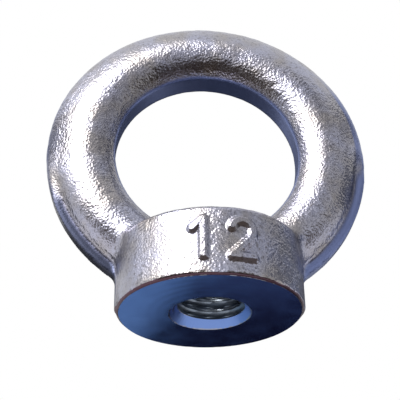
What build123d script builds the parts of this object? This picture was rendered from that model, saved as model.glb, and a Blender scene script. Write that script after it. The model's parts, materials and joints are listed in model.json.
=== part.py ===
"""Forged lifting eye nut, M12: a round ring standing on a tapped boss, all one piece.

Millimetres, +Z up. The origin is the centre of the bearing face. The thread runs along Z, and
the ring stands in the XZ plane, which is also the plane where the two forging dies met.
"""
from build123d import *
import os

# Tapped hole, before threading, and the cone at each end of it
tap_drill_diameter = 10.2
base_countersink_depth = 1.4
top_countersink_depth = 1.0
countersink_angle = 90.0

# Boss that bears on the load
boss_diameter = 30.0
boss_edge_height = 11.7
boss_top_rise = 0.7
boss_edge_radius = 1.2
bearing_edge_break = 0.4

# Ring: a bar of nearly round section, punched through along the inside
eye_diameter = 31.0
bar_width = 10.4
bar_thickness = 10.0
punched_depth = 0.4
saddle_rise = 0.5
neck_radius = 3.0

# Flash that the trimming tool left standing in the parting plane
flash_width = 1.6
flash_thickness = 2.4
flash_on_boss = 0.15
flash_corner_radius = 2.0

boss_radius = boss_diameter / 2
eye_radius = eye_diameter / 2
eye_floor_height = boss_edge_height + boss_top_rise + saddle_rise
ring_centre_height = eye_floor_height + eye_radius
bar_circle_radius = eye_radius - punched_depth + bar_width / 2
flash_radius = bar_circle_radius + bar_width / 2 + flash_width
flash_half_span = boss_radius + flash_on_boss

with BuildPart() as eye_nut:
    # Boss: a turned profile whose rounded edge leads to a top that rises gently to the ring
    with BuildSketch(Plane.XZ) as boss_profile:
        with BuildLine():
            Polyline(
                (0, 0),
                (boss_radius, 0),
                (boss_radius, boss_edge_height),
                (0, boss_edge_height + boss_top_rise),
                close=True,
            )
        make_face()
        outer_corners = boss_profile.vertices().group_by(Axis.X)[-1].sort_by(Axis.Y)
        chamfer(outer_corners[0], bearing_edge_break)
        outer_corners = boss_profile.vertices().group_by(Axis.X)[-1].sort_by(Axis.Y)
        fillet(outer_corners[-1], boss_edge_radius)
    revolve(axis=Axis.Z)

    # Ring: the bar's oval section turned about the ring's own axis, which runs along Y
    with BuildSketch(Plane.XY.offset(ring_centre_height)):
        with Locations((bar_circle_radius, 0)):
            Ellipse(bar_width / 2, bar_thickness / 2)
    revolve(axis=Axis((0, 0, ring_centre_height), (0, 1, 0)))

    # Neck: the blend that the dies give the ring where it grows out of the boss
    neck_edges = eye_nut.edges(Select.LAST).filter_by(GeomType.BSPLINE)
    fillet(neck_edges, neck_radius)

    # Flash: a thin web in the parting plane, round the ring and down both flanks of the boss
    with BuildSketch(Plane.XZ) as flash_outline:
        with Locations((0, ring_centre_height)):
            Circle(flash_radius)
        with Locations((0, bearing_edge_break)):
            Rectangle(
                2 * flash_half_span,
                boss_edge_height - bearing_edge_break,
                align=(Align.CENTER, Align.MIN),
            )
        ring_meets_boss = flash_outline.vertices().group_by(Axis.Y)[1]
        fillet(ring_meets_boss, flash_corner_radius)
    extrude(amount=flash_thickness / 2, both=True)

    # Eye: punched through square to the ring, which leaves a smooth band inside it
    with BuildSketch(Plane.XZ):
        with Locations((0, ring_centre_height)):
            Circle(eye_radius)
    extrude(amount=boss_radius, both=True, mode=Mode.SUBTRACT)

    # Hole for the thread, drilled from the bearing face into the eye
    with Locations(-Plane.XY):
        CounterSinkHole(
            radius=tap_drill_diameter / 2,
            counter_sink_radius=tap_drill_diameter / 2 + base_countersink_depth,
            depth=ring_centre_height,
            counter_sink_angle=countersink_angle,
        )
    with Locations(Plane.XY.offset(eye_floor_height)):
        CounterSinkHole(
            radius=tap_drill_diameter / 2,
            counter_sink_radius=tap_drill_diameter / 2 + top_countersink_depth,
            depth=eye_radius,
            counter_sink_angle=countersink_angle,
        )

eye_nut.part.label = "eye_nut"
os.makedirs("parts", exist_ok=True)
export_step(eye_nut.part, "parts/eye_nut.step")
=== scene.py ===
"""Looks of a forged lifting eye nut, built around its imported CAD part.

The nut is one closed mesh. A copy of the CAD solid gets an even mesh, a rim ground down above the foot of
the ring, and the skin that a forging die leaves, with a plain raised number on the boss. The bearing face,
the countersinks and the thread are then cut into it, as they are on the real part. Everything is in metres,
in the frame of the CAD part: +Z is up, the thread runs along Z and the ring stands in the XZ plane.
"""
import json
import logging
import math
from dataclasses import dataclass, field
from enum import Enum
from functools import partial
from typing import Any

import bmesh
import bpy
import numpy as np
from bpy.types import Material, Mesh, Node, NodeSocket, NodeTree, Object
from mathutils import Matrix, Vector


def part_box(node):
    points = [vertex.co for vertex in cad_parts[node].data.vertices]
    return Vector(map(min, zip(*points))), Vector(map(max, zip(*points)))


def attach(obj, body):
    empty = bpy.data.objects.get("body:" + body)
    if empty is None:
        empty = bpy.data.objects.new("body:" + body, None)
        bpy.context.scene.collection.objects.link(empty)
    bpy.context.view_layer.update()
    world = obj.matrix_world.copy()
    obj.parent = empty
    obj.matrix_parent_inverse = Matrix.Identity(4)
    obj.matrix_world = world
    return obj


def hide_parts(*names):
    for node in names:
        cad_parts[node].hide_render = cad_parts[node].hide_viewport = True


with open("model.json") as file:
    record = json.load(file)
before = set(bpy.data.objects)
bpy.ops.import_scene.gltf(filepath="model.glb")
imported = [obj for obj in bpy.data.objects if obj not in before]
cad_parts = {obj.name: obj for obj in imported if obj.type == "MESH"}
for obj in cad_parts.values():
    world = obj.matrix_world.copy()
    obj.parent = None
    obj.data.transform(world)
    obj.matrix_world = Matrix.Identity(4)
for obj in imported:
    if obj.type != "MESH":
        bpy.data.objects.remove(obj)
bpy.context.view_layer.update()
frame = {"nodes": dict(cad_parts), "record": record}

LOG = logging.getLogger("eye_nut")
MM = 0.001
Triple = tuple[float, float, float]
# Nearly all values of a noise texture lie between these two
NOISE_LOW, NOISE_HIGH = 0.3, 0.7
NODE = "eye_nut"
BODY = "root"


class Mask(Enum):
    """Names of the point attributes that say how the forging's surface is at each point."""

    TRIMMED = "trimmed"
    # Dashes of dirt and painted crease shade in the fold beside the flash
    FOLD_SHADE = "fold"
    # Painted shade on the flash's web, on the left side only
    WEB_SHADE = "web"
    RELIEF = "relief"
    RELAX = "relax"


def linear(hex_colour: str) -> tuple[float, float, float, float]:
    """Turns an sRGB hex colour into the linear colour that a node takes.

    Args:
        hex_colour: Six hex digits, such as "9c99a6".

    Returns:
        Red, green, blue and an alpha of 1.
    """
    channels = (int(hex_colour[i : i + 2], 16) / 255 for i in (0, 2, 4))
    red, green, blue = (c / 12.92 if c <= 0.04045 else ((c + 0.055) / 1.055) ** 2.4 for c in channels)
    return red, green, blue, 1.0


def add_node(
    tree: NodeTree,
    kind: str,
    settings: dict[str, Any] | None = None,
    inputs: dict[str | int, Any] | None = None,
) -> Node:
    """Adds a node to a tree, with its settings and what its inputs hold.

    Args:
        tree: The tree that gets the node.
        kind: The node's type name.
        settings: Properties of the node, by name.
        inputs: For an input's name or index, a value or the output socket that is linked to it.

    Returns:
        The new node.
    """
    node = tree.nodes.new(kind)
    for name, value in (settings or {}).items():
        setattr(node, name, value)
    for key, value in (inputs or {}).items():
        if isinstance(value, NodeSocket):
            tree.links.new(value, node.inputs[key])
        else:
            node.inputs[key].default_value = value
    return node


def new_material(name: str) -> Material:
    """Makes a material whose node tree is still empty, and returns it."""
    material = bpy.data.materials.new(name)
    material.use_nodes = True
    material.node_tree.nodes.clear()
    return material


def finish_metal(material: Material, colour: Any, roughness: NodeSocket, relief: dict[str, Any]) -> None:
    """Ends a material's tree in bare metal with a fine relief.

    Args:
        material: The material.
        colour: The metal's colour, or the socket that gives it.
        roughness: The socket that gives its roughness.
        relief: What the inputs of its bump map hold.
    """
    add = partial(add_node, material.node_tree)
    bump = add("ShaderNodeBump", inputs=relief).outputs[0]
    shader = add(
        "ShaderNodeBsdfPrincipled",
        inputs={"Base Color": colour, "Metallic": 1.0, "Roughness": roughness, "Normal": bump},
    )
    add("ShaderNodeOutputMaterial", inputs={"Surface": shader.outputs[0]})


def smooth_step(value: np.ndarray) -> np.ndarray:
    """Eases each value from 0 to 1 as it goes from 0 to 1, and holds it outside that."""
    held = np.clip(value, 0, 1)
    return held * held * (3 - 2 * held)


def new_object(name: str, mesh: Mesh) -> Object:
    """Puts a mesh in the scene as an object at the origin, and returns the object."""
    made = bpy.data.objects.new(name, mesh)
    bpy.context.scene.collection.objects.link(made)
    return made


def baked(piece: Object) -> Object:
    """Turns a piece's modifiers into its plain mesh.

    Args:
        piece: A mesh object with modifiers.

    Returns:
        The same object, with the evaluated mesh and no modifiers.
    """
    evaluated = piece.evaluated_get(bpy.context.evaluated_depsgraph_get())
    mesh = bpy.data.meshes.new_from_object(evaluated)
    piece.modifiers.clear()
    piece.data = mesh
    return piece


def grow(piece: Object, tree: NodeTree, sizes: dict[str, Any]) -> Object:
    """Runs a Geometry Nodes tree on a piece and keeps the plain mesh that it gives.

    Args:
        piece: The object that the tree works on.
        tree: The Geometry Nodes tree.
        sizes: A value for each named input of the tree.

    Returns:
        The same object, with the tree's result as its mesh.
    """
    modifier = piece.modifiers.new(tree.name, "NODES")
    modifier.node_group = tree
    sockets = {s.name: s.identifier for s in tree.interface.items_tree if s.in_out == "INPUT"}
    for name, value in sizes.items():
        modifier[sockets[name]] = value
    return baked(piece)


def named_tree(name: str, sizes: tuple[str, ...]) -> NodeTree:
    """Starts a Geometry Nodes tree with a geometry input and output, named sizes and a material.

    Args:
        name: The tree's name.
        sizes: Names of the inputs that are plain numbers.

    Returns:
        The tree, still without nodes.
    """
    tree = bpy.data.node_groups.new(name, "GeometryNodeTree")
    tree.interface.new_socket("Geometry", in_out="INPUT", socket_type="NodeSocketGeometry")
    tree.interface.new_socket("Geometry", in_out="OUTPUT", socket_type="NodeSocketGeometry")
    for label in sizes:
        tree.interface.new_socket(label, in_out="INPUT", socket_type="NodeSocketFloat")
    tree.interface.new_socket("Material", in_out="INPUT", socket_type="NodeSocketMaterial")
    return tree


def finish_tree(tree: NodeTree, geometry: NodeSocket, material: NodeSocket) -> None:
    """Ends a Geometry Nodes tree in real, dressed geometry.

    Args:
        tree: The tree.
        geometry: The socket that carries the finished geometry.
        material: The socket that gives the material.
    """
    add = partial(add_node, tree)
    real = add("GeometryNodeRealizeInstances", inputs={"Geometry": geometry})
    dressed = add("GeometryNodeSetMaterial", inputs={"Geometry": real.outputs[0], "Material": material})
    add("NodeGroupOutput", inputs={"Geometry": dressed.outputs[0]})


def turned(name: str, profile: list[tuple[float, float]], segments: int, material: Material) -> Object:
    """Makes a solid or a sheet of revolution about the Z axis.

    Args:
        name: The object's name.
        profile: Radius and height of each corner. A solid starts and ends on the axis.
        segments: Number of flat sides round the axis.
        material: The finish of its surface.

    Returns:
        The new object.
    """
    angles = np.linspace(0, 2 * math.pi, segments, endpoint=False)
    shell = bmesh.new()
    rings = []
    for radius, height in profile:
        turns = angles if radius else angles[:1]
        corners = [(radius * math.cos(a), radius * math.sin(a), height) for a in turns]
        rings.append([shell.verts.new(c) for c in corners])
    for lower, upper in zip(rings, rings[1:]):
        for i in range(segments):
            sides = [(lower, i), (lower, i + 1), (upper, i + 1), (upper, i)]
            face = dict.fromkeys(ring[k % len(ring)] for ring, k in sides)
            shell.faces.new(list(face))
    bmesh.ops.recalc_face_normals(shell, faces=shell.faces)
    mesh = bpy.data.meshes.new(name)
    shell.to_mesh(mesh)
    shell.free()
    mesh.materials.append(material)
    return new_object(name, mesh)


@dataclass(frozen=True)
class NutSizes:
    """Sizes of the nut in metres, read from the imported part, and those that it has no field for.

    Attributes:
        boss_radius: Radius of the boss.
        ring_centre: Height of the ring's centre.
        hole_radius: Radius of the drilled hole.
        eye_radius: Inner radius of the ring.
        bar_radius: Radius of the ring's middle line.
        bar_half_width: Half the bar's width in the plane of the ring.
        bar_half_thickness: Half its thickness across that plane.
        flash_half_width: Half the thickness of the flash.
        bar_outer_radius: Radius on the ring at which the flash comes out of the bar.
    """

    boss_radius: float
    ring_centre: float
    hole_radius: float
    eye_radius: float = 15.5 * MM
    bar_radius: float = 20.3 * MM
    bar_half_width: float = 5.2 * MM
    bar_half_thickness: float = 5.0 * MM
    flash_half_width: float = 1.2 * MM
    bar_outer_radius: float = 25.35 * MM

    @classmethod
    def from_frame(cls) -> "NutSizes":
        """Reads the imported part's box and its threaded mount."""
        _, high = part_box(NODE)
        thread = next(m for m in frame["record"]["mounts"] if m["name"] == "thread")
        return cls(high.y, high.z - high.x, thread["dims"]["r_mm"] * MM)


@dataclass(frozen=True)
class ForgedZinc:
    """Hot-forged steel, tumbled and zinc plated: a bright grey, finely pitted skin.

    The zinc follows every pit that scale and blasting left, so the skin sparkles at the edge of a
    highlight. Where the flash was trimmed and the eye was punched, the steel is sheared smooth; its
    blue is partly the passivated zinc's tint and partly a painted reflection of blue surroundings. The
    fold beside the flash carries dashes of dirt, old scale and painted crease shade, and the flash's
    web on the left is darkened with painted shade.

    Attributes:
        zinc: Colour of the clean skin.
        dull: Colour of the patches where the plating is thin.
        pit: Colour at the bottom of the grain's pits.
        trimmed: Colour of sheared steel: blue passivation with a painted reflection of blue surroundings.
        web: Colour of the flash on the left, darkened with painted shade.
        scale: Colour of dirt, old scale and painted crease shade in the fold beside the flash.
        grain: Width of a pit in the colour; a blasted skin has grains of about a quarter millimetre.
        dent: Distance between the dents that blasting leaves.
        dent_depth: How deep the bump map takes these dents.
        patch: Width of a patch of thin plating.
        seed: Which pattern of grain and patches is shown.
        rough: Roughness of the skin, and of sheared steel.
        bumpy: Share of the dents' depth on the skin, and on sheared steel.
    """

    zinc: str = "9fa1b3"
    dull: str = "999699"
    pit: str = "7c7b84"
    trimmed: str = "737faa"
    web: str = "2e3242"
    scale: str = "2a211d"
    grain: float = 0.24 * MM
    dent: float = 0.38 * MM
    dent_depth: float = 0.095 * MM
    patch: float = 2.6 * MM
    seed: float = 4.0
    rough: tuple[float, float] = (0.30, 0.36)
    bumpy: tuple[float, float] = (0.74, 0.05)

    def build(self) -> Material:
        """Makes the material."""
        material = new_material("forged_zinc")
        add = partial(add_node, material.node_tree)
        place = add("ShaderNodeTexCoord").outputs["Object"]
        trimmed, fold, web = (
            add("ShaderNodeAttribute", {"attribute_name": mask.value}).outputs["Fac"]
            for mask in (Mask.TRIMMED, Mask.FOLD_SHADE, Mask.WEB_SHADE)
        )
        # At scale 1, the spots of a noise texture are about half a metre wide
        grain, patch = (
            add(
                "ShaderNodeTexNoise",
                {"noise_dimensions": "4D"},
                {"Vector": place, "W": self.seed, "Scale": 0.5 / size, "Detail": detail},
            ).outputs[0]
            for size, detail in ((self.grain, 1.5), (self.patch, 4.0))
        )
        dents = add(
            "ShaderNodeTexVoronoi",
            {"feature": "SMOOTH_F1"},
            {"Vector": place, "Scale": 1 / self.dent, "Smoothness": 0.6},
        ).outputs["Distance"]
        # Each layer: what it follows, where it starts and is full, its share when full, its colour
        layers = [
            (patch, 0.40, 0.62, 1.0, self.dull),
            (grain, 0.46, 0.30, 1.0, self.pit),
            # Sheared steel: its blue is partly the passivation's tint and partly a painted reflection
            (trimmed, 0.0, 1.0, 1.0, self.trimmed),
            # Painted shade darkens the flash's web on the left
            (web, 0.0, 1.0, 1.0, self.web),
            # Dashes of dirt and painted crease shade along the fold beside the flash
            (patch, 0.37, 0.39, fold, self.scale),
        ]
        colour = linear(self.zinc)
        for value, start, full, share, tint in layers:
            shown = add(
                "ShaderNodeMapRange",
                inputs={"Value": value, "From Min": start, "From Max": full, "To Max": share},
            ).outputs[0]
            colour = add(
                "ShaderNodeMix", {"data_type": "RGBA"}, {0: shown, 6: colour, 7: linear(tint)}
            ).outputs[2]
        roughness, strength = (
            add(
                "ShaderNodeMapRange", inputs={"Value": trimmed, "To Min": skin, "To Max": sheared}
            ).outputs[0]
            for skin, sheared in (self.rough, self.bumpy)
        )
        relief = {"Strength": strength, "Distance": self.dent_depth, "Height": dents}
        finish_metal(material, colour, roughness, relief)
        return material


@dataclass(frozen=True)
class TurnedZinc:
    """Steel cut by a tool, zinc plated and blue passivated: smooth, blue and nearly a mirror.

    The lathe leaves fine rings round the hole, which draw a reflection out a little. Where the steel is
    only deburred or tapped, the plating is duller and takes less of the blue.

    Attributes:
        name: The material's name.
        zinc: Colour of the plating: blue passivation with a painted reflection of blue surroundings.
        ring_gap: Distance between the rings. The tool's real feed, about 0.2 mm, is too fine to show.
        ring_depth: How deep the rings are.
        ring_share: Share of that depth that the bump map shows.
        cloud: Width of the patches in which the plating turned out more or less smooth.
        smoothest: Roughness of the smoothest patch.
        roughest: Roughness of the roughest patch.
    """

    name: str = "turned_zinc"
    zinc: str = "6b87c2"
    ring_gap: float = 1.57 * MM
    ring_depth: float = 0.02 * MM
    ring_share: float = 0.12
    cloud: float = 2.0 * MM
    smoothest: float = 0.16
    roughest: float = 0.26

    def build(self) -> Material:
        """Makes the material."""
        material = new_material(self.name)
        add = partial(add_node, material.node_tree)
        place = add("ShaderNodeTexCoord").outputs["Object"]
        # At scale 1, a wave texture goes through 20 radians of its wave in a metre
        scale = 2 * math.pi / (20 * self.ring_gap)
        rings = add(
            "ShaderNodeTexWave",
            {"wave_type": "RINGS", "rings_direction": "Z"},
            {"Vector": place, "Scale": scale, "Distortion": 1.5, "Detail": 2.0},
        ).outputs[1]
        cloud = add(
            "ShaderNodeTexNoise", inputs={"Vector": place, "Scale": 0.5 / self.cloud, "Detail": 3.0}
        ).outputs[0]
        roughness = add(
            "ShaderNodeMapRange",
            inputs={
                "Value": cloud,
                "From Min": NOISE_LOW,
                "From Max": NOISE_HIGH,
                "To Min": self.smoothest,
                "To Max": self.roughest,
            },
        ).outputs[0]
        relief = {"Strength": self.ring_share, "Distance": self.ring_depth, "Height": rings}
        finish_metal(material, linear(self.zinc), roughness, relief)
        return material


@dataclass
class RaisedNumber:
    """The thread's size, 12, raised on the front of the boss by the forging die.

    Attributes:
        height: Height of a digit.
        foot: Height of the digits' feet above the bearing face.
        across: How far the number's middle stands to the right of the boss's.
        spacing: Distance from the middle of one digit to that of the next.
        stroke: Width of a stroke at its foot.
        flat_top: Share of that width that is flat on top.
        rise: How far the strokes stand out.
        flag: How far the flag of the 1 reaches left and down, as shares of the height.
        bowl: Radius of the bowl of the 2, as a share of the height.
        bowl_angles: Where the bowl meets the slant, from level, and how far it turns, in radians.
        bowl_points: Points along the bowl.
        slant_top: Where the slant of the 2 starts, right of its middle and below its top, as shares of
            the bowl's radius.
        step: Length of the short pieces that bend round the boss.
    """

    height: float = 6.0 * MM
    foot: float = 3.1 * MM
    across: float = 0.9 * MM
    spacing: float = 6.0 * MM
    stroke: float = 2.1 * MM
    flat_top: float = 0.25
    rise: float = 0.55 * MM
    flag: tuple[float, float] = (0.28, 0.24)
    bowl: float = 0.29
    bowl_angles: tuple[float, float] = (-0.67, 3.5)
    bowl_points: int = 24
    slant_top: tuple[float, float] = (0.8, 1.62)
    step: float = 0.2 * MM

    def strokes(self, tree: NodeTree, radius: float) -> NodeSocket:
        """Draws the two digits flat and bends them round the boss.

        Args:
            tree: The Geometry Nodes tree that holds the strokes.
            radius: The radius of the boss.

        Returns:
            The socket that carries the middle lines of the strokes, as edges.
        """
        add = partial(add_node, tree)
        foot, top = self.foot, self.foot + self.height
        bowl = self.bowl * self.height
        left, right = self.across - self.spacing / 2, self.across + self.spacing / 2
        # The stem and the flag of the 1, then the slant and the foot of the 2
        lines = [
            ((left, foot), (left, top)),
            ((left, top), (left - self.flag[0] * self.height, top - self.flag[1] * self.height)),
            ((right + self.slant_top[0] * bowl, top - self.slant_top[1] * bowl), (right - bowl, foot)),
            ((right - bowl, foot), (right + bowl, foot)),
        ]
        join = add("GeometryNodeJoinGeometry")
        for start, end in lines:
            line = add(
                "GeometryNodeCurvePrimitiveLine",
                inputs={"Start": (start[0], 0, start[1]), "End": (end[0], 0, end[1])},
            )
            tree.links.new(line.outputs[0], join.inputs[0])
        arc = add(
            "GeometryNodeCurveArc",
            {"mode": "RADIUS"},
            {
                "Resolution": self.bowl_points,
                "Radius": bowl,
                "Start Angle": self.bowl_angles[0],
                "Sweep Angle": self.bowl_angles[1],
            },
        )
        placed = add(
            "GeometryNodeTransform",
            inputs={
                "Geometry": arc.outputs[0],
                "Translation": (right, 0, top - bowl),
                "Rotation": (math.pi / 2, 0, 0),
            },
        )
        tree.links.new(placed.outputs[0], join.inputs[0])
        fine = add(
            "GeometryNodeResampleCurve",
            {"mode": "LENGTH"},
            {"Curve": join.outputs[0], "Length": self.step},
        )
        flat = add("ShaderNodeSeparateXYZ", inputs={0: add("GeometryNodeInputPosition").outputs[0]})
        # Each point goes as far round the boss as it lay across
        turn = add("ShaderNodeMath", {"operation": "DIVIDE"}, {0: flat.outputs["X"], 1: radius}).outputs[0]
        front = add("ShaderNodeCombineXYZ", inputs={"Y": -radius, "Z": flat.outputs["Z"]}).outputs[0]
        around = add("ShaderNodeVectorRotate", {"rotation_type": "Z_AXIS"}, {"Vector": front, "Angle": turn})
        bent = add(
            "GeometryNodeSetPosition", inputs={"Geometry": fine.outputs[0], "Position": around.outputs[0]}
        )
        return add("GeometryNodeCurveToMesh", inputs={"Curve": bent.outputs[0]}).outputs[0]


@dataclass
class ForgedSkin:
    """The uneven surface that the die, the scale and the blasting leave, with the raised number on it.

    Attributes:
        lump_size: Width of the broad lumps from a worn die.
        lump_depth: Height difference of these lumps.
        pit_size: Width of the pits that scale leaves.
        pit_depth: Depth of these pits.
        seed: Which pattern is shown.
        relax_rounds: How often the mesh is smoothed where it was tapered.
    """

    lump_size: float = 2.2 * MM
    lump_depth: float = 0.09 * MM
    pit_size: float = 0.55 * MM
    pit_depth: float = 0.05 * MM
    seed: float = 7.0
    relax_rounds: int = 5

    def tree(self, number: RaisedNumber, radius: float) -> NodeTree:
        """Builds the Geometry Nodes tree that raises and pits the skin.

        Args:
            number: The raised number.
            radius: The radius of the boss that carries it.

        Returns:
            The tree, with its sizes as named inputs.
        """
        sizes = ("Lump size", "Lump depth", "Pit size", "Pit depth", "Stroke reach", "Number rise", "Seed")
        tree = named_tree("forged_skin", sizes)
        add = partial(add_node, tree)
        given = add("NodeGroupInput").outputs
        relax, relief = (
            add("GeometryNodeInputNamedAttribute", {"data_type": "FLOAT"}, {"Name": mask.value}).outputs[0]
            for mask in (Mask.RELAX, Mask.RELIEF)
        )
        place = add("GeometryNodeInputPosition").outputs[0]
        relaxed = add(
            "GeometryNodeBlurAttribute",
            {"data_type": "FLOAT_VECTOR"},
            {"Value": place, "Iterations": self.relax_rounds, "Weight": relax},
        ).outputs[0]
        even = add("GeometryNodeSetPosition", inputs={"Geometry": given["Geometry"], "Position": relaxed})
        depths = []
        for label in ("Lump", "Pit"):
            scale = add(
                "ShaderNodeMath", {"operation": "DIVIDE"}, {0: 0.5, 1: given[f"{label} size"]}
            ).outputs[0]
            noise = add(
                "ShaderNodeTexNoise",
                {"noise_dimensions": "4D"},
                {"W": given["Seed"], "Scale": scale, "Detail": 2.0},
            ).outputs[0]
            sunk = add(
                "ShaderNodeMapRange",
                inputs={
                    "Value": noise,
                    "From Min": NOISE_HIGH,
                    "From Max": NOISE_LOW,
                    "To Max": given[f"{label} depth"],
                },
            )
            depths.append(sunk.outputs[0])
        near = add(
            "GeometryNodeProximity", {"target_element": "EDGES"}, {0: number.strokes(tree, radius)}
        ).outputs["Distance"]
        flat_top = add(
            "ShaderNodeMath", {"operation": "MULTIPLY"}, {0: given["Stroke reach"], 1: number.flat_top}
        ).outputs[0]
        raised = add(
            "ShaderNodeMapRange",
            {"interpolation_type": "SMOOTHSTEP"},
            {
                "Value": near,
                "From Min": given["Stroke reach"],
                "From Max": flat_top,
                "To Max": given["Number rise"],
            },
        ).outputs[0]
        both = add("ShaderNodeMath", {"operation": "ADD"}, {0: depths[0], 1: depths[1]}).outputs[0]
        skin = add("ShaderNodeMath", {"operation": "MULTIPLY"}, {0: both, 1: relief}).outputs[0]
        rise = add("ShaderNodeMath", {"operation": "SUBTRACT"}, {0: raised, 1: skin}).outputs[0]
        normal = add("GeometryNodeInputNormal").outputs[0]
        shift = add("ShaderNodeVectorMath", {"operation": "SCALE"}, {0: normal, "Scale": rise}).outputs[0]
        moved = add("GeometryNodeSetPosition", inputs={"Geometry": even.outputs[0], "Offset": shift})
        finish_tree(tree, moved.outputs[0], given["Material"])
        return tree


@dataclass
class ThreadTap:
    """The tap that cuts the metric coarse thread, M12 with a pitch of 1.75 mm.

    Attributes:
        pitch: Advance of the thread per turn.
        major_radius: Radius at the bottom of the groove.
        clearance: How far the tap's core stands outside the drilled hole.
        start: Height of the tap's lower end.
        length: Length of the tap.
        rows_per_turn: Rows of faces along one pitch.
        sides: Faces round the tap.
    """

    pitch: float = 1.75 * MM
    major_radius: float = 6.0 * MM
    clearance: float = 0.03 * MM
    start: float = -0.94 * MM
    length: float = 15.2 * MM
    rows_per_turn: int = 12
    sides: int = 64

    def tree(self) -> NodeTree:
        """Builds the Geometry Nodes tree: a cylinder whose wall ripples along a helix."""
        names = ("Pitch", "Length", "Core radius", "Major radius")
        tree = named_tree("thread_tap", names)
        add = partial(add_node, tree)
        given = add("NodeGroupInput").outputs
        turns = add(
            "ShaderNodeMath", {"operation": "DIVIDE"}, {0: given["Length"], 1: given["Pitch"]}
        ).outputs[0]
        rows = add("ShaderNodeMath", {"operation": "MULTIPLY"}, {0: turns, 1: self.rows_per_turn}).outputs[0]
        blank = add(
            "GeometryNodeMeshCylinder",
            inputs={
                "Vertices": self.sides,
                "Side Segments": rows,
                "Radius": 1.0,
                "Depth": given["Length"],
            },
        )
        place = add("GeometryNodeInputPosition").outputs[0]
        at = add("ShaderNodeSeparateXYZ", inputs={0: place}).outputs
        # How far the helix is from each point, in pitches: its height less the part of a turn made there
        climbed = add("ShaderNodeMath", {"operation": "DIVIDE"}, {0: at["Z"], 1: given["Pitch"]}).outputs[0]
        angle = add("ShaderNodeMath", {"operation": "ARCTAN2"}, {0: at["Y"], 1: at["X"]}).outputs[0]
        phase = add(
            "ShaderNodeMath", {"operation": "MULTIPLY_ADD"}, {0: angle, 1: -0.5 / math.pi, 2: climbed}
        ).outputs[0]
        off_groove = add("ShaderNodeMath", {"operation": "PINGPONG"}, {0: phase, 1: 0.5}).outputs[0]
        # A metric thread's groove is flat over an eighth of the pitch, and its crest over a quarter
        radius = add(
            "ShaderNodeMapRange",
            inputs={
                "Value": off_groove,
                "From Min": 1 / 16,
                "From Max": 3 / 8,
                "To Min": given["Major radius"],
                "To Max": given["Core radius"],
            },
        ).outputs[0]
        widening = add("ShaderNodeCombineXYZ", inputs={"X": radius, "Y": radius, "Z": 1.0}).outputs[0]
        wall = add("ShaderNodeVectorMath", {"operation": "MULTIPLY"}, {0: place, 1: widening}).outputs[0]
        shaped = add("GeometryNodeSetPosition", inputs={"Geometry": blank.outputs["Mesh"], "Position": wall})
        finish_tree(tree, shaped.outputs[0], given["Material"])
        return tree

    def build(self, hole_radius: float, material: Material) -> Object:
        """Makes the tap, standing in the hole.

        Args:
            hole_radius: The radius of the drilled hole.
            material: The finish of the surface that it cuts.

        Returns:
            The cutting object.
        """
        tap = new_object("tap", bpy.data.meshes.new("tap"))
        sizes = {
            "Pitch": self.pitch,
            "Length": self.length,
            "Core radius": hole_radius + self.clearance,
            "Major radius": self.major_radius,
            "Material": material,
        }
        grow(tap, self.tree(), sizes)
        tap.data.transform(Matrix.Translation((0, 0, self.start + self.length / 2)))
        return tap


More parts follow.
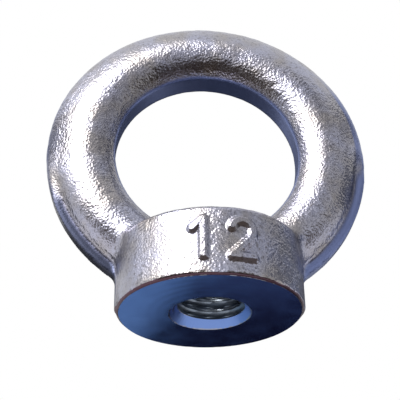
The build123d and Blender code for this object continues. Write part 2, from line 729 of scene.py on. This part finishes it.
@dataclass
class EyeNut:
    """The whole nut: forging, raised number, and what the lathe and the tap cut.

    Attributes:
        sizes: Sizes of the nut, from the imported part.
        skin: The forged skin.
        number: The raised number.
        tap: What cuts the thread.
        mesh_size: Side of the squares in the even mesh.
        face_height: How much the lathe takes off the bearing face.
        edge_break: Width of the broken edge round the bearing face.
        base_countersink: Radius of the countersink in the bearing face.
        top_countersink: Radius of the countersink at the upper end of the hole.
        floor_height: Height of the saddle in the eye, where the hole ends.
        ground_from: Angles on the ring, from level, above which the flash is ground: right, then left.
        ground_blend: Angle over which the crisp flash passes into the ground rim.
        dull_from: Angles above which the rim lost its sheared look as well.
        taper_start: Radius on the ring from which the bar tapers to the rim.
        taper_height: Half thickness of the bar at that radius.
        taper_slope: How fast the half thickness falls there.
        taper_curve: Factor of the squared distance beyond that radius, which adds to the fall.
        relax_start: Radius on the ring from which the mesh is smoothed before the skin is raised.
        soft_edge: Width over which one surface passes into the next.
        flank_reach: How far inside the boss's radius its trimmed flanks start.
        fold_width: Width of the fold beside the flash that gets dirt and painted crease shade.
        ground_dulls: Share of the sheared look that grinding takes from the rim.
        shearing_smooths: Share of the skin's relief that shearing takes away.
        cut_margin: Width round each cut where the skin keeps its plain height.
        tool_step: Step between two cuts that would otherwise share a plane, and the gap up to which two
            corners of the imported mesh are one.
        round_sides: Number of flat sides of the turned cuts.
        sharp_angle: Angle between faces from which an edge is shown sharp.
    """

    sizes: NutSizes
    skin: ForgedSkin = field(default_factory=ForgedSkin)
    number: RaisedNumber = field(default_factory=RaisedNumber)
    tap: ThreadTap = field(default_factory=ThreadTap)
    mesh_size: float = 0.33 * MM
    face_height: float = 0.02 * MM
    edge_break: float = 0.5 * MM
    base_countersink: float = 6.52 * MM
    top_countersink: float = 6.12 * MM
    floor_height: float = 12.9 * MM
    ground_from: tuple[float, float] = (-10.0, -22.0)
    ground_blend: float = 18.0
    dull_from: tuple[float, float] = (24.0, -34.0)
    taper_start: float = 22.5 * MM
    taper_height: float = 4.53 * MM
    taper_slope: float = 0.449
    taper_curve: float = 0.066 / MM
    relax_start: float = 24.6 * MM
    soft_edge: float = 0.25 * MM
    flank_reach: float = 0.1 * MM
    fold_width: float = 0.35 * MM
    ground_dulls: float = 0.6
    shearing_smooths: float = 0.8
    cut_margin: float = 0.5 * MM
    tool_step: float = 0.001 * MM
    round_sides: int = 192
    sharp_angle: float = math.radians(30)

    def forging(self) -> Object:
        """Copies the CAD solid and gives it a closed mesh of even squares."""
        copy = bmesh.new()
        copy.from_mesh(frame["nodes"][NODE].data)
        bmesh.ops.remove_doubles(copy, verts=copy.verts, dist=self.tool_step)
        mesh = bpy.data.meshes.new("forging")
        copy.to_mesh(mesh)
        copy.free()
        forging = new_object("forged_eye_nut", mesh)
        remesh = forging.modifiers.new("even", "REMESH")
        remesh.mode = "VOXEL"
        remesh.voxel_size = self.mesh_size
        return baked(forging)

    def points(self, forging: Object) -> tuple[np.ndarray, np.ndarray, np.ndarray]:
        """Reads the x, y and z of every point of the forging."""
        at = np.empty(3 * len(forging.data.vertices))
        forging.data.vertices.foreach_get("co", at)
        return tuple(at.reshape(-1, 3).T)

    def share_above(self, x: np.ndarray, up: np.ndarray, start: tuple[float, float]) -> np.ndarray:
        """Tells how far each point is past an angle on the ring, from 0 at its foot to 1 above.

        Args:
            x: Place across the ring.
            up: Height above the ring's centre.
            start: The angle on the right and on the left, from level.

        Returns:
            The share at each point, which grows over the blend's angle.
        """
        angle = np.degrees(np.arctan2(up, np.abs(x)))
        return smooth_step((angle - np.where(x > 0, *start)) / self.ground_blend)

    def taper_rim(self, forging: Object) -> None:
        """Tapers the bar out to the rim where the flash was ground.

        The flash stands crisp at the foot of the ring only. Above that, its web blends into the bar.

        Args:
            forging: The forging, before its skin is raised.
        """
        x, y, z = self.points(forging)
        up = z - self.sizes.ring_centre
        out = np.hypot(x, up)
        across_bar = np.clip((out - self.sizes.bar_radius) / self.sizes.bar_half_width, -1, 1)
        oval = self.sizes.bar_half_thickness * np.sqrt(1 - across_bar**2)
        was = np.maximum(self.sizes.flash_half_width, oval)
        beyond = out - self.taper_start
        taper = self.taper_height - self.taper_slope * beyond - self.taper_curve * beyond**2
        ground = self.share_above(x, up, self.ground_from)
        moved = y + (taper * np.clip(y / was, -1, 1) - y) * ground
        y = np.where(beyond > 0, moved, y)
        forging.data.vertices.foreach_set("co", np.stack([x, y, z], axis=1).ravel())

    def mark_surfaces(self, forging: Object) -> None:
        """Marks what is sheared, folded, shaded or cut later, for the skin and the material.

        Args:
            forging: The forging, with its rim tapered.
        """
        x, y, z = self.points(forging)
        up = z - self.sizes.ring_centre
        out = np.hypot(x, up)
        ground = self.share_above(x, up, self.ground_from)
        dull = self.share_above(x, up, self.dull_from)
        soft = self.soft_edge
        web = self.sizes.flash_half_width
        past_bar = out - self.sizes.bar_outer_radius
        ring_rim = np.clip(past_bar / soft, 0, 1)
        near_web = np.clip((web + soft - np.abs(y)) / soft, 0, 1)
        inside = np.clip((self.sizes.eye_radius + soft - out) / soft + 0.5, 0, 1)
        flank = np.clip((np.abs(x) - self.sizes.boss_radius + self.flank_reach) / (0.5 * soft), 0, 1)
        flank *= z < self.sizes.ring_centre / 2
        # The sheared rim carries the blue, partly a painted reflection, and loses it where the rim is ground
        # and dulled
        sheared = ring_rim * (1 - self.ground_dulls * dull) * np.maximum(near_web, ground * (1 - dull))
        trimmed = np.maximum.reduce([inside, sheared, flank * near_web])
        from_hole = (np.hypot(x, y) - self.base_countersink) / self.cut_margin
        cut_away = (z < self.floor_height + self.cut_margin) * (1 - smooth_step(from_hole))
        cut_away = np.maximum(cut_away, 1 - smooth_step(z / self.cut_margin))
        masks = {
            Mask.TRIMMED: trimmed,
            # Dirt and painted crease shade along the fold beside the flash
            Mask.FOLD_SHADE: np.exp(-((past_bar / self.fold_width) ** 2)) * near_web * (1 - ground),
            # Painted shade on the flash's web, on the left side only
            Mask.WEB_SHADE: ring_rim * near_web * (1 - ground) * (x < 0),
            Mask.RELIEF: (1 - self.shearing_smooths * trimmed) * (1 - cut_away),
            Mask.RELAX: smooth_step((out - self.relax_start) / soft + 1) * ground,
        }
        for mask, values in masks.items():
            attribute = forging.data.attributes.new(mask.value, "FLOAT", "POINT")
            attribute.data.foreach_set("value", values.astype(np.float32))

    def refine_number(self, forging: Object) -> None:
        """Divides the mesh under the raised number, so that its strokes keep their form.

        Args:
            forging: The forging, before its skin is raised.
        """
        margin = 1.2 * MM
        front, wall = -0.5 * self.sizes.boss_radius, 0.95 * self.sizes.boss_radius
        low, high = self.number.foot - margin, self.number.foot + self.number.height + margin
        reach = self.number.spacing + margin
        shell = bmesh.new()
        shell.from_mesh(forging.data)
        edges = [
            e
            for e in shell.edges
            if all(
                v.co.y < front
                and abs(v.co.x - self.number.across) < reach
                and low < v.co.z < high
                and math.hypot(v.co.x, v.co.y) > wall
                for v in e.verts
            )
        ]
        bmesh.ops.subdivide_edges(shell, edges=edges, cuts=2, use_grid_fill=True)
        shell.to_mesh(forging.data)
        shell.free()

    def cut(self, forging: Object, tools: list[Object]) -> None:
        """Cuts tools out of the forging, one after the other, and removes them.

        Args:
            forging: The forging.
            tools: Closed solids that carry the material of the surface that they leave.
        """
        for tool in tools:
            boolean = forging.modifiers.new(tool.name, "BOOLEAN")
            boolean.object = tool
            boolean.operation = "DIFFERENCE"
            boolean.solver = "MANIFOLD"
            boolean.material_mode = "TRANSFER"
            baked(forging)
            bpy.data.objects.remove(tool)

    def lathe_tools(self, faced: Material, broken: Material, sunk: Material) -> list[Object]:
        """Makes the tools that face the base, break its edge and countersink the hole at both ends.

        Args:
            faced: The finish of the bearing face.
            broken: The finish of its broken edge.
            sunk: The finish of the countersinks.

        Returns:
            The cutting objects.
        """
        far = 2 * self.sizes.boss_radius
        face, below = self.face_height, -far
        edge, foot = self.sizes.boss_radius - self.edge_break, face - self.tool_step
        wide = foot + (far - edge)
        # A countersink's cone widens as fast as it sinks, for its 90 degrees
        tip = self.base_countersink + face
        low = tip - 2 * self.base_countersink
        top, rim = self.floor_height, self.top_countersink
        above = top + self.sizes.eye_radius / 2
        tools = {
            "facing": (faced, [(0, face), (far, face), (far, below), (0, below)]),
            "edge_break": (broken, [(0, foot), (edge, foot), (far, wide), (far, below), (0, below)]),
            "base_countersink": (sunk, [(0, tip), (2 * self.base_countersink, low), (0, low)]),
            "top_countersink": (sunk, [(0, top - rim), (rim, top), (rim, above), (0, above)]),
        }
        return [turned(n, profile, self.round_sides, finish) for n, (finish, profile) in tools.items()]

    def build(self) -> Object:
        """Makes the nut, dresses it and hands it to the frame.

        Returns:
            The finished object.
        """
        forged = ForgedZinc().build()
        # The blue of the turned faces and countersinks is partly the passivation's tint and partly a painted
        # reflection of blue surroundings
        faced = TurnedZinc().build()
        broken = TurnedZinc("edge_zinc", "54414c", smoothest=0.30, roughest=0.42).build()
        sunk = TurnedZinc("countersunk_zinc", "738eca", smoothest=0.30, roughest=0.42).build()
        threaded = TurnedZinc("threaded_zinc", "79828f", smoothest=0.26, roughest=0.36).build()
        nut = self.forging()
        self.taper_rim(nut)
        self.mark_surfaces(nut)
        self.refine_number(nut)
        sizes = {
            "Lump size": self.skin.lump_size,
            "Lump depth": self.skin.lump_depth,
            "Pit size": self.skin.pit_size,
            "Pit depth": self.skin.pit_depth,
            "Stroke reach": self.number.stroke / 2,
            "Number rise": self.number.rise,
            "Seed": self.skin.seed,
            "Material": forged,
        }
        grow(nut, self.skin.tree(self.number, self.sizes.boss_radius), sizes)
        self.cut(nut, self.lathe_tools(faced, broken, sunk))
        self.cut(nut, [self.tap.build(self.sizes.hole_radius, threaded)])
        nut.data.shade_smooth()
        nut.data.set_sharp_from_angle(angle=self.sharp_angle)
        # The bearing face is flat up to its edges, so nothing smooths it
        face_limit, facing_down = 1.1 * self.face_height, -0.999
        for face in nut.data.polygons:
            if face.center.z < face_limit and face.normal.z < facing_down:
                face.use_smooth = False
        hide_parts(NODE)
        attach(nut, BODY)
        return nut


@dataclass
class Flag:
    """A plain card beside the nut that only reflections see, as stands beside bright metal in a studio.

    Attributes:
        name: The card's name.
        colour: Its colour.
        corner: Place of its first corner, in millimetres.
        side: Its one edge from that corner.
        rise: Its other edge from that corner.
    """

    name: str
    colour: str
    corner: Triple
    side: Triple
    rise: Triple

    def build(self) -> Object:
        """Makes the card."""
        corner, side, rise = (Vector(v) * MM for v in (self.corner, self.side, self.rise))
        mesh = bpy.data.meshes.new(self.name)
        corners = [corner, corner + side, corner + side + rise, corner + rise]
        mesh.from_pydata(corners, [], [(0, 1, 2, 3)])
        card = new_object(self.name, mesh)
        material = new_material(self.name)
        add = partial(add_node, material.node_tree)
        shade = add("ShaderNodeEmission", inputs={"Color": linear(self.colour), "Strength": 1.0})
        add("ShaderNodeOutputMaterial", inputs={"Surface": shade.outputs[0]})
        mesh.materials.append(material)
        card.visible_camera = False
        card.visible_diffuse = False
        card.visible_shadow = False
        return card


@dataclass
class SoftBox:
    """A rectangular lamp that looks at the ring, placed by its direction from there.

    Attributes:
        name: The lamp's name.
        azimuth: Direction in degrees, 0 in front of the nut and positive to its right.
        elevation: Degrees above level.
        distance: Distance from the ring's centre.
        width: Width of the lamp.
        height: Height of the lamp.
        radiance: How much brighter than the white surroundings it looks.
        colour: Its colour, a warm white.
    """

    name: str
    azimuth: float
    elevation: float
    distance: float
    width: float
    height: float
    radiance: float
    colour: str = "fff9ee"

    def build(self, aim: Vector) -> Object:
        """Makes the lamp.

        Args:
            aim: The point that the lamp looks at.

        Returns:
            The lamp.
        """
        away = direction(self.azimuth, self.elevation)
        data = bpy.data.lights.new(self.name, "AREA")
        data.shape = "RECTANGLE"
        data.size, data.size_y = self.width, self.height
        data.color = linear(self.colour)[:3]
        data.energy = self.radiance * math.pi * self.width * self.height
        lamp = bpy.data.objects.new(self.name, data)
        bpy.context.scene.collection.objects.link(lamp)
        lamp.location = aim + away * self.distance
        lamp.rotation_euler = (-away).to_track_quat("-Z", "Y").to_euler()
        return lamp


def direction(azimuth: float, elevation: float) -> Vector:
    """Gives the direction from the nut to a point that is seen at an azimuth and elevation, in degrees."""
    a, e = math.radians(azimuth), math.radians(elevation)
    return Vector((math.sin(a) * math.cos(e), -math.cos(a) * math.cos(e), math.sin(e)))


@dataclass
class Studio:
    """Pale floor, white surroundings, a key lamp, a weak side lamp and the cards that the metal mirrors.

    Attributes:
        floor_radius: Radius of the floor.
        floor_height: How far the floor lies above the bearing face's plane, clear of it.
        floor_sides: Number of flat sides of the floor.
        nut_opening: Radius of the hole in the floor, as a share of the boss's.
        fade_start: Radius at which the floor starts to fade.
        fade_end: Radius at which it has faded into the white background.
        floor_colour: Colour of the floor.
        ambient: Colour of the light that the surroundings give.
    """

    floor_radius: float = 1.5
    floor_height: float = 0.05 * MM
    floor_sides: int = 96
    nut_opening: float = 0.95
    fade_start: float = 0.064
    fade_end: float = 0.16
    floor_colour: str = "e6e6e8"
    ambient: str = "c4c6cc"

    def floor(self, hole_radius: float) -> Object:
        """Makes the floor, which is seen from above only and fades into the white background.

        Args:
            hole_radius: Radius of the opening under the nut, which leaves its bearing face free.

        Returns:
            The floor.
        """
        material = new_material("studio_floor")
        ring = [(hole_radius, self.floor_height), (self.floor_radius, self.floor_height)]
        floor = turned("floor", ring, self.floor_sides, material)
        if floor.data.polygons[0].normal.z < 0:
            floor.data.flip_normals()
        add = partial(add_node, material.node_tree)
        place = add("ShaderNodeTexCoord").outputs["Object"]
        far = add("ShaderNodeVectorMath", {"operation": "LENGTH"}, {0: place}).outputs["Value"]
        fade = add(
            "ShaderNodeMapRange",
            {"interpolation_type": "SMOOTHSTEP"},
            {"Value": far, "From Min": self.fade_start, "From Max": self.fade_end},
        ).outputs[0]
        paint = add("ShaderNodeBsdfDiffuse", inputs={"Color": linear(self.floor_colour)})
        gone = add("ShaderNodeBsdfTransparent")
        below = add("ShaderNodeNewGeometry").outputs["Backfacing"]
        hidden = add("ShaderNodeMath", {"operation": "MAXIMUM"}, {0: below, 1: fade}).outputs[0]
        shade = add("ShaderNodeMixShader", inputs={0: hidden, 1: paint.outputs[0], 2: gone.outputs[0]})
        add("ShaderNodeOutputMaterial", inputs={"Surface": shade.outputs[0]})
        return floor

    def world(self) -> None:
        """Makes the surroundings: white to the camera and to the metal, a plain grey light to the rest."""
        world = bpy.data.worlds.new("studio")
        bpy.context.scene.world = world
        world.use_nodes = True
        world.node_tree.nodes.clear()
        add = partial(add_node, world.node_tree)
        path = add("ShaderNodeLightPath").outputs
        seen = path["Is Camera Ray"]
        for kind in ("Is Glossy Ray", "Is Transmission Ray"):
            seen = add("ShaderNodeMath", {"operation": "MAXIMUM"}, {0: seen, 1: path[kind]}).outputs[0]
        soft, white = (
            add("ShaderNodeBackground", inputs={"Color": linear(shade), "Strength": 1.0}).outputs[0]
            for shade in (self.ambient, "ffffff")
        )
        both = add("ShaderNodeMixShader", inputs={0: seen, 1: soft, 2: white})
        add("ShaderNodeOutputWorld", inputs={"Surface": both.outputs[0]})

    def build(self, sizes: NutSizes) -> None:
        """Makes the whole studio.

        Args:
            sizes: The sizes of the nut that stands in it.
        """
        aim = Vector((0, 0, sizes.ring_centre))
        self.floor(self.nut_opening * sizes.boss_radius)
        self.world()
        lamps = [
            SoftBox("side_lamp", -80, 30, 0.35, width=0.11, height=0.22, radiance=1.6),
            SoftBox("key_lamp", -38, 33, 0.35, width=0.27, height=0.33, radiance=9.5),
        ]
        for lamp in lamps:
            lamp.build(aim)
        # Each card: name, colour, then its corner and two edges in millimetres
        flags = [
            Flag("right_flag", "4e5670", (110, -50, 26), (0, 200, 0), (0, 0, 40)),
            Flag("left_flag", "787b88", (-60, -22, 42), (0, 50, 0), (0, 0, 30)),
            Flag("high_right_flag", "5a5c6c", (110, -60, 96), (0, 110, 0), (0, 0, 35)),
            Flag("ahead_flag", "a8a8b0", (-20, -108, 50), (52, 0, 0), (0, 0, 100)),
            Flag("front_right_flag", "5e5e68", (40, -20, 54), (0, -65, 25), (0, 0, 28)),
            Flag("low_front_flag", "5c5c68", (30, -112, 46), (75, 52, 0), (0, 0, 28)),
            Flag("rear_flag", "54565e", (-60, 20, 1), (120, 0, 0), (0, 70, 0)),
            Flag("back_flag", "54565e", (-100, 90, -25), (194, 0, 48), (0, 0, 58)),
            Flag("base_flag", "1c1828", (71, 60, -130), (150, 0, 0), (-95, 0, 129)),
            Flag("base_far_flag", "54586e", (74, 59, -130), (75, 0, 0), (-74, 0, 100)),
            Flag("base_side_flag", "9ab4c8", (71, 60, -130), (-150, 0, 0), (-95, 0, 129)),
            Flag("behind_flag", "4d515d", (-60, 115, 45), (180, 0, 0), (0, 0, 100)),
            Flag("front_flag", "3c3028", (-150, -420, 0.3), (300, 0, 0), (0, 392, 0)),
            Flag("near_flag", "74675f", (-70, -28, 0.3), (140, 0, 0), (0, 16, 0)),
        ]
        for flag in flags:
            flag.build()


@dataclass
class PhotoCamera:
    """The camera of the photograph, as fitted to the nut's outlines.

    Attributes:
        azimuth: Direction of the camera in degrees, 0 in front of the nut and negative to its left.
        elevation: Degrees above level, so that a negative value looks up at the nut.
        roll: Turn of the camera about its own axis, in degrees.
        distance: Distance from the target.
        focus_in_pixels: Focal length, in pixels of the photograph.
        picture_width: Width of the photograph, in pixels.
        target: The point in the middle of the picture.
        nearest: Distance from which things are shown.
    """

    azimuth: float = -4.75
    elevation: float = -29.02
    roll: float = -1.18
    distance: float = 180.2 * MM
    focus_in_pixels: float = 1078.8
    picture_width: float = 400.0
    target: Triple = (-1.23 * MM, 0.0, 20.56 * MM)
    nearest: float = 10 * MM

    def build(self) -> Object:
        """Makes the camera and makes it the scene's own."""
        back = direction(self.azimuth, self.elevation)
        right = (-back).cross(Vector((0, 0, 1))).normalized()
        turn = Matrix.Rotation(math.radians(self.roll), 3, back)
        right = turn @ right
        up = back.cross(right)
        data = bpy.data.cameras.new("photo_camera")
        data.lens = data.sensor_width * self.focus_in_pixels / self.picture_width
        data.clip_start = self.nearest
        camera = bpy.data.objects.new("photo_camera", data)
        bpy.context.scene.collection.objects.link(camera)
        turned_axes = Matrix((right, up, back)).transposed().to_4x4()
        camera.matrix_world = Matrix.Translation(Vector(self.target) + back * self.distance) @ turned_axes
        bpy.context.scene.camera = camera
        return camera


def main() -> None:
    """Builds the nut, the studio and the camera, and reports each."""
    logging.basicConfig(level=logging.INFO, format="%(name)s: %(message)s")
    sizes = NutSizes.from_frame()
    nut = EyeNut(sizes).build()
    faces = sum(len(p.vertices) - 2 for p in nut.data.polygons)
    LOG.info("%s: %d triangles, box %s", nut.name, faces, [round(v / MM, 2) for v in nut.dimensions])
    Studio().build(sizes)
    camera = PhotoCamera().build()
    LOG.info("%s stands %.0f mm from the nut", camera.name, camera.location.length / MM)
    bpy.context.scene.view_settings.view_transform = "Standard"


if __name__ == "__main__":
    main()
